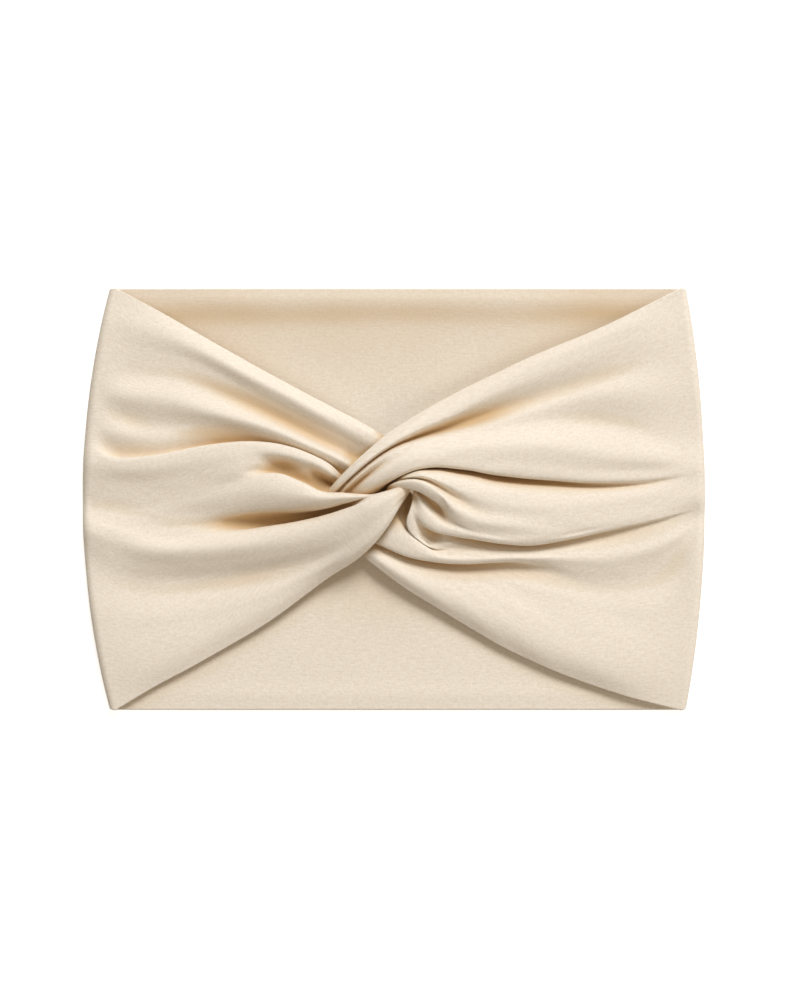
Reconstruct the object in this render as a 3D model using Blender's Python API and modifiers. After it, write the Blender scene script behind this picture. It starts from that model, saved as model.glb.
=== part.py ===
"""Knotted headband: a wide double-layer jersey band, lying flat with its knot upward.

The band is modelled in the lengths between its bends: two back halves on the ground, two
gathered front fans above them, and a clasp of two hooked loops that are sewn together from behind.
Units are metres, +Z is up, and the origin is under the middle of the flat band.
"""
import math

import bmesh
import bpy
from mathutils import Vector

MM = 0.001

# Flat band.
FLAT_WIDTH = 230 * MM
FLAT_HEIGHT = 156 * MM
CLOTH_THICKNESS = 1.6 * MM
LAYER_GAP = 0.3 * MM
SIDE_BOW = 8.5 * MM
EDGE_ROUND = 0.5 * MM

# Bends.
HINGE_OUTSET = 0.3 * MM
KNOT_HALF_WIDTH = 24 * MM
KNOT_CLEARANCE = 0.3 * MM
CENTRE_BACK_GAP = 0.3 * MM
CENTRE_BACK_MITRE = math.radians(43)

# Sewn seam under the clasp.
SEAM_LENGTH = 20 * MM
SEAM_WIDTH = 9 * MM
SEAM_TURNING_THICKNESS = 1.2 * MM
SEAM_ROUND = 0.3 * MM
SEAM_CENTRE = (-3 * MM, -3 * MM)
THREAD_DIAMETER = 0.5 * MM
THREAD_SWING = 2.4 * MM
STITCH_COUNT = 9
STITCH_SETBACK = 2 * MM

# Clasp loops.
LOOP_GAP = 0.9 * MM
LOW_LEG_HEIGHT = 3.6 * MM
HIGH_LEG_HEIGHT = 4.8 * MM
TURN_HEIGHT = 3.6 * MM
LEG_END_WIDTH = 29 * MM
LEG_MID_WIDTH = 18 * MM
TURN_WIDTH = 6.5 * MM
TURN_SWING = math.radians(38)
LOOP_SIDES = 16
LOOP_STEPS = 5

# Mesh steps of the cloth.
STEPS_ALONG = 14
STEPS_ACROSS = 3
BACK_STEPS_ALONG = 10
BACK_STEPS_ACROSS = 12

JERSEY_COLOUR = (0.80, 0.70, 0.54, 1.0)
THREAD_COLOUR = (0.84, 0.77, 0.64, 1.0)

# Fold lines of the fans from the upper edge to the lower edge. Each has its name, its height up the
# band at five stations from the knot to the side, in per cent of half the flat height, and its rise
# there above the lowest lie of the cloth, in millimetres.
LEFT_FOLDS = (
    ("upper_edge", (44, 59, 76, 91, 100), (0.4, 0.3, 0, 0, 0)),
    ("first_ridge", (39, 53, 68, 80, 85), (4.6, 4.2, 3.4, 2.0, 0)),
    ("first_valley", (27, 41, 55, 66, 70), (1.2, 1.0, 0.6, 0.2, 0)),
    ("second_ridge", (19, 31, 39, 47, 52), (5.2, 5.0, 4.4, 3.0, 0)),
    ("second_valley", (14, 25, 28, 34, 35), (1.8, 1.2, 0.6, 0.3, 0)),
    ("third_ridge", (10, 18, 19, 18, 17), (4.6, 5.2, 4.4, 2.8, 0)),
    ("middle_ridge", (-1, 4, 5, 3, -4), (6.2, 5.6, 4.4, 2.6, 0)),
    ("deep_valley", (-6, -9, -9, -11, -20), (2.0, 0.6, 0.3, 0.2, 0)),
    ("fourth_ridge", (-13, -20, -26, -24, -34), (8.0, 7.0, 5.0, 2.8, 0)),
    ("soft_valley", (-23, -33, -38, -38, -52), (5.0, 3.2, 1.8, 0.8, 0)),
    ("fifth_ridge", (-33, -47, -60, -70, -78), (5.4, 4.0, 3.0, 1.8, 0)),
    ("lower_edge", (-39, -58, -74, -90, -100), (1.2, 0.6, 0, 0, 0)),
)
RIGHT_FOLDS = (
    ("upper_edge", (51, 65, 76, 89, 100), (1.6, 0.8, 0, 0, 0)),
    ("first_ridge", (46, 58, 68, 79, 87), (7.4, 5.0, 3.6, 2.0, 0)),
    ("first_valley", (37, 45, 54, 62, 70), (3.8, 1.8, 0.8, 0.3, 0)),
    ("second_ridge", (27, 29, 32, 33, 38), (8.2, 6.6, 4.8, 2.6, 0)),
    ("second_valley", (14, 9, 9, 13, 18), (3.4, 1.6, 0.6, 0.4, 0)),
    ("third_ridge", (7, 3, 0, -1, -2), (8.0, 6.4, 4.6, 2.4, 0)),
    ("middle_shelf", (-8, -14, -12, -9, -9), (6.6, 5.6, 3.8, 2.0, 0)),
    ("third_valley", (-18, -21, -18, -14, -14), (2.0, 1.0, 0.5, 0.2, 0)),
    ("fourth_ridge", (-24, -25, -23, -22, -24), (4.4, 4.2, 3.0, 1.8, 0)),
    ("fourth_valley", (-30, -29, -27, -30, -34), (1.6, 1.0, 0.6, 0.4, 0)),
    ("fifth_ridge", (-46, -59, -70, -77, -82), (5.0, 4.4, 3.4, 2.0, 0)),
    ("lower_edge", (-58, -74, -86, -95, -100), (0.4, 0.3, 0, 0, 0)),
)

HALF_WIDTH = FLAT_WIDTH / 2
HALF_HEIGHT = FLAT_HEIGHT / 2
FRONT_BASE = CLOTH_THICKNESS + LAYER_GAP
HINGE_X = HALF_WIDTH + HINGE_OUTSET
HINGE_Z = CLOTH_THICKNESS + LAYER_GAP / 2
THREAD_Z = FRONT_BASE + THREAD_DIAMETER / 2
SEAM_BASE = FRONT_BASE + THREAD_DIAMETER + LAYER_GAP
LOW_LEG_Z = SEAM_BASE + SEAM_TURNING_THICKNESS + LAYER_GAP + LOW_LEG_HEIGHT / 2
HIGH_LEG_Z = LOW_LEG_Z + LOW_LEG_HEIGHT / 2 + LOOP_GAP + HIGH_LEG_HEIGHT / 2
TURN_Z = (LOW_LEG_Z + HIGH_LEG_Z) / 2
LEG_END_X = KNOT_HALF_WIDTH - KNOT_CLEARANCE


def clear_scene():
    for existing in list(bpy.data.objects):
        bpy.data.objects.remove(existing, do_unlink=True)


def new_collection(name):
    collection = bpy.data.collections.new(name)
    bpy.context.scene.collection.children.link(collection)
    return collection


def cloth_material(name, colour, roughness):
    material = bpy.data.materials.new(name)
    material.use_nodes = True
    shader = material.node_tree.nodes["Principled BSDF"]
    shader.inputs["Base Color"].default_value = colour
    shader.inputs["Roughness"].default_value = roughness
    shader.inputs["Metallic"].default_value = 0.0
    return material


def hinge_empty(name, location, collection):
    empty = bpy.data.objects.new(name, None)
    empty.location = location
    empty.empty_display_size = CLOTH_THICKNESS
    collection.objects.link(empty)
    return empty


def add_object(name, mesh, collection, material, parent):
    """Links a mesh, given in world places, as a child of its hinge."""
    mesh.materials.append(material)
    mesh.shade_smooth()
    obj = bpy.data.objects.new(name, mesh)
    collection.objects.link(obj)
    obj.parent = parent
    obj.location = -parent.location
    return obj


def smooth_between(low, high, share):
    ease = share * share * (3 - 2 * share)
    return low + (high - low) * ease


def curve_value(values, place):
    """Catmull-Rom reading of evenly spaced values at a place from 0 to 1."""
    last = len(values) - 1
    index = min(int(place * last), last - 1)
    share = place * last - index
    before = values[max(index - 1, 0)]
    start = values[index]
    end = values[index + 1]
    after = values[min(index + 2, last)]
    slope = (end - before) / 2
    next_slope = (after - start) / 2
    cubic = 2 * (start - end) + slope + next_slope
    square = 3 * (end - start) - 2 * slope - next_slope
    return start + share * (slope + share * (square + share * cubic))


def side_edge(y):
    """Distance of the side fold from the middle of the band at a height y."""
    return HALF_WIDTH - SIDE_BOW * (y / HALF_HEIGHT) ** 2


def grid_mesh(name, rows):
    """An open cloth surface through rows of points that all have the same length."""
    surface = bmesh.new()
    grid = []
    for row in rows:
        grid.append([surface.verts.new(point) for point in row])
    for upper, lower in zip(grid, grid[1:]):
        for column in range(len(upper) - 1):
            surface.faces.new((upper[column], lower[column], lower[column + 1], upper[column + 1]))
    mesh = bpy.data.meshes.new(name)
    bmesh.ops.recalc_face_normals(surface, faces=surface.faces)
    surface.to_mesh(mesh)
    surface.free()
    return mesh


def give_thickness(obj, thickness):
    shell = obj.modifiers.new("cloth_thickness", "SOLIDIFY")
    shell.thickness = thickness
    shell.offset = 0
    shell.use_rim = True


def round_edges(obj, width):
    bevel = obj.modifiers.new("soft_edges", "BEVEL")
    bevel.width = width
    bevel.segments = 1
    bevel.limit_method = "ANGLE"
    bevel.angle_limit = math.radians(60)


def fan_point(side, folds, row, share_across, station):
    """A point of the fan between fold line row and the next one, at a station from knot to side."""
    upper = folds[row]
    lower = folds[row + 1]
    y_upper = curve_value(upper[1], station)
    y_lower = curve_value(lower[1], station)
    rise_upper = max(curve_value(upper[2], station), 0)
    rise_lower = max(curve_value(lower[2], station), 0)
    y = (y_upper + (y_lower - y_upper) * share_across) / 100 * HALF_HEIGHT
    rise = smooth_between(rise_upper, rise_lower, share_across) * MM
    y_side = (upper[1][-1] + (lower[1][-1] - upper[1][-1]) * share_across) / 100 * HALF_HEIGHT
    reach = KNOT_HALF_WIDTH + KNOT_CLEARANCE
    x = reach + (side_edge(y_side) - reach) * station
    return Vector((side * x, y, FRONT_BASE + CLOTH_THICKNESS / 2 + rise))


def fan_rows(side, folds):
    stations = [step / STEPS_ALONG for step in range(STEPS_ALONG + 1)]
    rows = []
    for row in range(len(folds) - 1):
        for step in range(STEPS_ACROSS):
            share = step / STEPS_ACROSS
            rows.append([fan_point(side, folds, row, share, station) for station in stations])
    rows.append([fan_point(side, folds, len(folds) - 2, 1.0, station) for station in stations])
    return rows


def front_panel(name, side, folds, collection, material, hinge):
    panel = add_object(name, grid_mesh(name, fan_rows(side, folds)), collection, material, hinge)
    give_thickness(panel, CLOTH_THICKNESS)
    return panel


def back_rows(side):
    rows = []
    for row in range(BACK_STEPS_ACROSS + 1):
        y = HALF_HEIGHT * (1 - 2 * row / BACK_STEPS_ACROSS)
        reach = side_edge(y) - CENTRE_BACK_GAP
        steps = [column / BACK_STEPS_ALONG for column in range(BACK_STEPS_ALONG + 1)]
        rows.append([Vector((side * (CENTRE_BACK_GAP + reach * step), y, CLOTH_THICKNESS / 2)) for step in steps])
    return rows


def mitre_cutter(name, side, cutters):
    """A wedge that slopes the centre-back end, so that the halves clear each other as they bend."""
    depth = 2 * CLOTH_THICKNESS
    bpy.ops.mesh.primitive_cube_add(size=1)
    cutter = bpy.context.object
    cutter.name = name
    cutter.dimensions = (depth, 2 * FLAT_HEIGHT, 4 * depth)
    bpy.ops.object.transform_apply(location=False, rotation=False, scale=True)
    cutter.rotation_euler = (0, side * CENTRE_BACK_MITRE, 0)
    reach = depth / 2
    cutter.location = (
        side * (CENTRE_BACK_GAP - reach * math.cos(CENTRE_BACK_MITRE)),
        0,
        reach * math.sin(CENTRE_BACK_MITRE),
    )
    for owner in list(cutter.users_collection):
        owner.objects.unlink(cutter)
    cutters.objects.link(cutter)
    cutter.hide_render = True
    cutter.display_type = "WIRE"
    return cutter


def back_panel(name, side, collection, cutters, material, hinge):
    panel = add_object(name, grid_mesh(name, back_rows(side)), collection, material, hinge)
    give_thickness(panel, CLOTH_THICKNESS)
    round_edges(panel, EDGE_ROUND)
    mitre = panel.modifiers.new("centre_back_mitre", "BOOLEAN")
    mitre.operation = "DIFFERENCE"
    mitre.solver = "EXACT"
    mitre.object = mitre_cutter(name + "_mitre", side, cutters)
    return panel


def loop_stations(side):
    """Way of one clasp loop: in along the leg that the photo shows above, round its turn and back.

    Each station holds the middle of the section, its width and height, and the swing of the way there
    from straight inward.
    """
    upper_z, lower_z = (LOW_LEG_Z, HIGH_LEG_Z) if side < 0 else (HIGH_LEG_Z, LOW_LEG_Z)
    upper_h, lower_h = (LOW_LEG_HEIGHT, HIGH_LEG_HEIGHT) if side < 0 else (HIGH_LEG_HEIGHT, LOW_LEG_HEIGHT)
    leg_out = LEG_END_WIDTH / 2 + LAYER_GAP
    leg_in = LEG_MID_WIDTH / 2 + LAYER_GAP
    turn = TURN_WIDTH / 2 + LAYER_GAP
    return (
        (side * LEG_END_X, leg_out, upper_z, LEG_END_WIDTH, upper_h, 0),
        (side * LEG_END_X / 2, leg_in + turn / 2, upper_z, LEG_MID_WIDTH, upper_h, 0),
        (0, leg_in, upper_z, LEG_MID_WIDTH, upper_h, 0),
        (-side * turn, turn, (upper_z + TURN_Z) / 2, TURN_WIDTH, TURN_HEIGHT, TURN_SWING),
        (-side * 1.6 * turn, 0, TURN_Z, TURN_WIDTH, TURN_HEIGHT, math.pi / 2),
        (-side * turn, -turn, (lower_z + TURN_Z) / 2, TURN_WIDTH, TURN_HEIGHT, math.pi - TURN_SWING),
        (0, -leg_in, lower_z, LEG_MID_WIDTH, lower_h, math.pi),
        (side * LEG_END_X / 2, -leg_in - turn / 2, lower_z, LEG_MID_WIDTH, lower_h, math.pi),
        (side * LEG_END_X, -leg_out, lower_z, LEG_END_WIDTH, lower_h, math.pi),
    )


def loop_mesh(name, side, stations):
    """A loft of flat oval sections along the loop's way, closed at both ends."""
    steps = (len(stations) - 1) * LOOP_STEPS
    reads = [[curve_value(values, step / steps) for values in zip(*stations)] for step in range(steps + 1)]
    body = bmesh.new()
    rings = []
    for x, y, z, width, height, swing in reads:
        across = Vector((side * math.sin(swing), -math.cos(swing), 0))
        ring = []
        for corner in range(LOOP_SIDES):
            turn = 2 * math.pi * corner / LOOP_SIDES
            offset = across * (width / 2 * math.cos(turn)) + Vector((0, 0, height / 2 * math.sin(turn)))
            ring.append(body.verts.new(Vector((x, y, z)) + offset))
        rings.append(ring)
    for ring, following in zip(rings, rings[1:]):
        for corner in range(LOOP_SIDES):
            beside = (corner + 1) % LOOP_SIDES
            body.faces.new((ring[corner], ring[beside], following[beside], following[corner]))
    body.faces.new(rings[0])
    body.faces.new(rings[-1])
    bmesh.ops.recalc_face_normals(body, faces=body.faces)
    mesh = bpy.data.meshes.new(name)
    body.to_mesh(mesh)
    body.free()
    return mesh


def knot_loop(name, side, collection, material, hinge):
    return add_object(name, loop_mesh(name, side, loop_stations(side)), collection, material, hinge)


def seam_turnings(name, collection, material, hinge):
    """The sewn-together ends of the band, pressed flat behind the clasp."""
    block = bmesh.new()
    bmesh.ops.create_cube(block, size=1)
    bmesh.ops.scale(block, vec=(SEAM_LENGTH, SEAM_WIDTH, SEAM_TURNING_THICKNESS), verts=block.verts)
    middle = (SEAM_CENTRE[0], SEAM_CENTRE[1], SEAM_BASE + SEAM_TURNING_THICKNESS / 2)
    bmesh.ops.translate(block, vec=middle, verts=block.verts)
    mesh = bpy.data.meshes.new(name)
    block.to_mesh(mesh)
    block.free()
    turnings = add_object(name, mesh, collection, material, hinge)
    round_edges(turnings, SEAM_ROUND)
    return turnings


def seam_thread(name, collection, material, hinge):
    """One unbroken zigzag of thread that lies under the seam turnings."""
    run = SEAM_LENGTH - 2 * STITCH_SETBACK
    path = bpy.data.curves.new(name, "CURVE")
    path.dimensions = "3D"
    path.bevel_depth = THREAD_DIAMETER / 2
    path.bevel_resolution = 1
    path.use_fill_caps = True
    spline = path.splines.new("POLY")
    spline.points.add(2 * STITCH_COUNT)
    for index, point in enumerate(spline.points):
        x = SEAM_CENTRE[0] - run / 2 + run * index / (2 * STITCH_COUNT)
        swing = THREAD_SWING / 2 if index % 2 else -THREAD_SWING / 2
        point.co = (x, SEAM_CENTRE[1] + swing, THREAD_Z, 1)
    path.materials.append(material)
    thread = bpy.data.objects.new(name, path)
    collection.objects.link(thread)
    thread.parent = hinge
    thread.location = -hinge.location
    return thread


def build_headband():
    clear_scene()
    parts = new_collection("knotted_headband")
    cutters = new_collection("cutters")
    jersey = cloth_material("jersey", JERSEY_COLOUR, 0.9)
    thread = cloth_material("thread", THREAD_COLOUR, 0.7)

    ground = hinge_empty("ground_line", Vector((0, 0, 0)), parts)
    left_fold = hinge_empty("left_side_fold_axis", Vector((-HINGE_X, 0, HINGE_Z)), parts)
    left_bend = hinge_empty("knot_left_bend_axis", Vector((-KNOT_HALF_WIDTH, 0, FRONT_BASE)), parts)
    right_bend = hinge_empty("knot_right_bend_axis", Vector((KNOT_HALF_WIDTH, 0, FRONT_BASE)), parts)
    right_fold = hinge_empty("right_side_fold_axis", Vector((HINGE_X, 0, HINGE_Z)), parts)

    back_panel("left_back_panel", -1, parts, cutters, jersey, ground)
    back_panel("right_back_panel", 1, parts, cutters, jersey, right_fold)
    front_panel("left_front_panel", -1, LEFT_FOLDS, parts, jersey, left_fold)
    front_panel("right_front_panel", 1, RIGHT_FOLDS, parts, jersey, right_bend)
    knot_loop("left_knot_loop", -1, parts, jersey, left_bend)
    knot_loop("right_knot_loop", 1, parts, jersey, left_bend)
    seam_turnings("knot_seam_turnings", parts, jersey, left_bend)
    seam_thread("knot_seam_thread", parts, thread, left_bend)


build_headband()
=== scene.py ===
"""Knotted headband: the cloth, its seam and a plain studio stage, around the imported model."""
import math

import bmesh
import bpy
import numpy as np
from bpy.props import FloatProperty, FloatVectorProperty, IntProperty, PointerProperty
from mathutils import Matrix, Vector, noise


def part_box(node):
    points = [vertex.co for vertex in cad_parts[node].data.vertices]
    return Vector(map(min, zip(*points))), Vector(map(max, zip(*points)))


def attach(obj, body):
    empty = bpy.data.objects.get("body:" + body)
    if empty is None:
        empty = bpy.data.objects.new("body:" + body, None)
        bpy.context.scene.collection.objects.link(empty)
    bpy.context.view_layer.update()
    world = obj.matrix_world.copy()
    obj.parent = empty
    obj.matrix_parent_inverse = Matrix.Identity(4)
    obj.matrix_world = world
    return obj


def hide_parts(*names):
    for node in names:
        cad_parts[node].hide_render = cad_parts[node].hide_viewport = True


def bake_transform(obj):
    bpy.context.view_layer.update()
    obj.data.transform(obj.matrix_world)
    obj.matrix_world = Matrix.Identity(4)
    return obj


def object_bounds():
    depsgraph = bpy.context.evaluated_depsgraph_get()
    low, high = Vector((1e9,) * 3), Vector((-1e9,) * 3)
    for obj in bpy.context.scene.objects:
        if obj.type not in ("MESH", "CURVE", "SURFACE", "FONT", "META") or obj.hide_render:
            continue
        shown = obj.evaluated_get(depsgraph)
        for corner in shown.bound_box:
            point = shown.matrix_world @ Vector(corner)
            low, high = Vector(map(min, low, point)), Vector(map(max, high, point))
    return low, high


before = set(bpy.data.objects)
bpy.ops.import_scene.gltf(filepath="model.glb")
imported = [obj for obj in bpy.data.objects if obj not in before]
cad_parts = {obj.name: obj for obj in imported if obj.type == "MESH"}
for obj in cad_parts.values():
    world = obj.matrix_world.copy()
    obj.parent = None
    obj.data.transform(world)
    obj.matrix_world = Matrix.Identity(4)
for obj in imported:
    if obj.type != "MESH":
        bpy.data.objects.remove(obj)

bl_info = {
    "name": "Knotted Headband",
    "version": (1, 0, 0),
    "blender": (4, 5, 0),
    "location": "View3D > Sidebar > Headband",
    "description": "Dresses the packed headband with gathered jersey, a sewn seam and a studio stage",
    "category": "Object",
}

MM = 0.001
CAD_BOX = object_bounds()
HALF_WIDTH = CAD_BOX[1][0]
HALF_HEIGHT = CAD_BOX[1][1]
LEFT = -1
RIGHT = 1

# Fold lines of the left front in millimetres, from its upper edge to its lower edge. Each has points from
# the knot outwards, as x, y and height over the ground, and last its place up the side fold.
LEFT_FOLDS = {
    "upper_edge": (((-1, 21.5, 3.2), (-12, 28.3, 3.6), (-21, 33, 3.7), (-51, 49, 3.6),
        (-83, 67.2, 3.6)), 77.4),
    "upper_shoulder": (((-2, 20, 4.6), (-13, 26.4, 5.8), (-22, 31, 6), (-52, 47, 5.7),
        (-84, 64.2, 4.9)), 73.6),
    "first_ridge": (((-4, 18.6, 5), (-20, 28, 6.6), (-45, 41.2, 7), (-75, 56.4, 6), (-95, 64, 5.2)), 66),
    "first_slope": (((-7, 15.4, 4.2), (-18, 21.6, 4.6), (-32, 28.6, 5), (-52, 39, 5), (-76, 51, 4.8)), 56),
    "first_valley": (((-9, 12, 3.6), (-15, 15.8, 3.6), (-26.3, 21.5, 3.8), (-43.4, 30, 4),
        (-60.8, 38.2, 4.1), (-79.4, 44.6, 4.1), (-96, 45, 4.2)), 46),
    "second_ridge": (((-12, 9.4, 5), (-17.4, 12.9, 6.8), (-31.2, 19.4, 8), (-46, 25.8, 8), (-68.3, 32, 7.2),
        (-87.9, 37, 6.1), (-101, 38.4, 5.6)), 39),
    "second_slope": (((-15, 8.2, 5), (-20, 11.8, 6), (-31.2, 17, 6.4), (-45, 22.2, 6.2), (-60, 25.4, 5.4),
        (-75, 26.4, 4.6), (-90, 27.4, 4.1), (-101, 30.6, 4.1)), 33),
    "side_ridge": (((-16, 7.4, 4.6), (-20.8, 11, 4.8), (-31.2, 16.2, 4.8), (-44, 20.4, 4.6),
        (-58, 22.4, 4.4), (-74, 22.4, 4.3), (-90, 22.4, 4.6), (-102, 24.4, 5.3)), 26),
    "ledge_tuck": (((-17, 6.6, 4.2), (-21.4, 10.4, 4.2), (-31, 15.4, 3.8), (-43, 18.8, 3.6),
        (-55, 20.2, 3.6), (-68, 19.9, 3.7), (-81, 17.9, 3.7), (-92, 16.2, 3.7), (-103, 16.2, 3.9)), 19.8),
    "ledge_lip": (((-18.6, 7.6, 5.6), (-22.8, 12, 7.4), (-31.2, 16.6, 8.4), (-41.2, 19.8, 8.2),
        (-53.4, 20.8, 7.8), (-68.3, 19.7, 7.1), (-82, 17.2, 6.6), (-93, 15.3, 6.4),
        (-103.6, 15.1, 5.9)), 18.2),
    "ledge_top": (((-19.8, 6.8, 6), (-23.8, 10.4, 8.2), (-31.6, 14.2, 9.2), (-41.6, 16.8, 9),
        (-54, 17.6, 8.7), (-69, 16, 7.9), (-84, 12.8, 7.2), (-97, 11.4, 6.6)), 13.4),
    "dimple": (((-20.4, 5.2, 4.2), (-25.6, 7.8, 3.7), (-32.4, 10.6, 7), (-40.4, 11.8, 4.8), (-52, 13, 8.6),
        (-68, 10.4, 7.5), (-86, 6.4, 5.6)), 7),
    "middle_tuck": (((4.4, 4, 5), (-6, 1.2, 5.4), (-18, 1.6, 5.2), (-27, 2.8, 4.8), (-34, 6.6, 5.4),
        (-42.4, 9.5, 5), (-55, 10, 8.4), (-72, 5.6, 6.5), (-90, 0.4, 4.5)), 2.6),
    "middle_lip": (((6.4, 6, 8.8), (3, 5, 10), (-1, 3.4, 10.6), (-4, 2.5, 10.8), (-8.4, 1.6, 10.4),
        (-11.6, 1.5, 10.6), (-18, 1.9, 10.5), (-26.6, 2.5, 9.9), (-34, 6.2, 9.6), (-42.4, 9.2, 8.8),
        (-55, 7.4, 8.4), (-74, 1.8, 6), (-91, -3, 4.1)), -0.6),
    "middle_ridge": (((6.5, 5.7, 9), (3, 4.6, 10.4), (-1, 3.1, 11.2), (-5, 2, 11.4), (-9, 1.3, 10.9),
        (-13, 0.8, 11.4), (-18, 0.6, 11.4), (-26, 0.6, 11), (-36, 2.2, 10.8), (-48, 3.2, 9.8),
        (-61, 1.2, 7.8), (-79, -2.6, 5.2), (-92, -5.6, 4.2)), -3),
    "middle_overhang": (((6.6, 5.4, 9.1), (3, 4.2, 10.7), (-1, 2.8, 11.6), (-5, 1.7, 11.7),
        (-9.4, 0.9, 11.1), (-14, -0.3, 10.8), (-19, -1.5, 10), (-24, -2.8, 9.4), (-34, -3.8, 8.4),
        (-45, -3.8, 7.6), (-56, -4.6, 6.4), (-68, -6, 5.2), (-86, -8, 4.5)), -5),
    "deep_valley": (((6.6, 5.1, 9.1), (3, 3.9, 10.8), (-1, 2.5, 11.7), (-5, 1.4, 11.8), (-9.8, 0.5, 11.1),
        (-14, -1, 8.3), (-19, -2.8, 5), (-25, -4.8, 3), (-35, -6.8, 2.4), (-46, -7.4, 2.4), (-57, -8, 2.9),
        (-70, -9.4, 4.4), (-88, -10.6, 4.6)), -6.6),
    "valley_floor": (((6.7, 4.8, 9.1), (3, 3.6, 10.8), (-1, 2.2, 11.8), (-5, 1.1, 11.9),
        (-10.2, -0.2, 11.3), (-14.4, -2, 8.6), (-19.6, -4.2, 5.2), (-26, -6.4, 2.9), (-36.6, -8.8, 2.4),
        (-47, -9.9, 2.4), (-58, -10.6, 3.4), (-71, -11, 4.8), (-89, -12.4, 5)), -8),
    "fourth_lip": (((6.8, 4.5, 9.1), (3, 3.2, 10.9), (-1, 1.8, 12), (-5.4, 0.4, 12.3), (-10.4, -1.1, 12),
        (-15, -2.9, 11.2), (-26.6, -6.6, 9.4), (-37, -8.7, 8), (-47, -10.1, 6.7), (-57, -11.6, 5.8),
        (-70, -12.8, 5.4), (-88, -14, 5.5)), -9.4),
    "fourth_ridge": (((6.4, 4.1, 8.6), (3, 2.5, 10.9), (-1, 0.8, 12.3), (-7, -2.4, 12.9), (-16, -6.6, 12),
        (-31.2, -12, 10.3), (-50.8, -16, 8.8), (-70.9, -18, 7.7), (-89, -18, 7),
        (-102, -15.4, 5.8)), -11.8),
    "fourth_slope": (((6.2, 3.6, 8.2), (3.2, 1.7, 10.7), (-0.4, -0.6, 12), (-5.8, -4.6, 12.6),
        (-13.7, -10.2, 11.8), (-21, -14.4, 10.7), (-36, -19, 8.6), (-57, -23, 6.4), (-78, -25, 5.4),
        (-95, -23.8, 5)), -16),
    "soft_valley": (((6, 3.1, 7.8), (3.4, 0.9, 10.4), (0.2, -1.8, 11.7), (-4.2, -6, 12),
        (-11.4, -12.4, 11.2), (-17.6, -17, 10), (-29, -22.4, 7.2), (-50, -27, 4.4), (-74, -29.4, 3.6),
        (-93, -29.4, 3.6), (-102, -27, 4)), -20),
    "fifth_slope": (((5.8, 2.6, 7.4), (3.2, 0, 9.9), (0.5, -2.9, 11.3), (-2.6, -6.8, 11.7),
        (-9.7, -14.2, 11), (-15.4, -19, 9.8), (-29, -27.4, 7.1), (-52, -38, 5.3), (-78, -44.6, 4.7),
        (-98, -46, 4.7)), -44),
    "fifth_ridge": (((5.6, 2.1, 7), (3.2, -0.6, 9.6), (0.9, -3.6, 11), (-1.6, -7.2, 11.4),
        (-8.8, -14.9, 10.9), (-14.2, -19.6, 9.6), (-26, -27, 7), (-49, -42.6, 5.2), (-74, -56.4, 4.8),
        (-94, -66, 4.7)), -67),
    "lower_edge": (((5.2, 1.4, 6.2), (3.3, -1.2, 8.8), (1.4, -4.2, 10.1), (-0.8, -8, 10.3),
        (-7, -16.2, 9.4), (-12, -21, 7.6), (-24, -29, 5.2), (-46, -45, 3.9), (-71, -59.8, 3.6),
        (-92, -71.2, 3.6)), -77.6),
}

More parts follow.
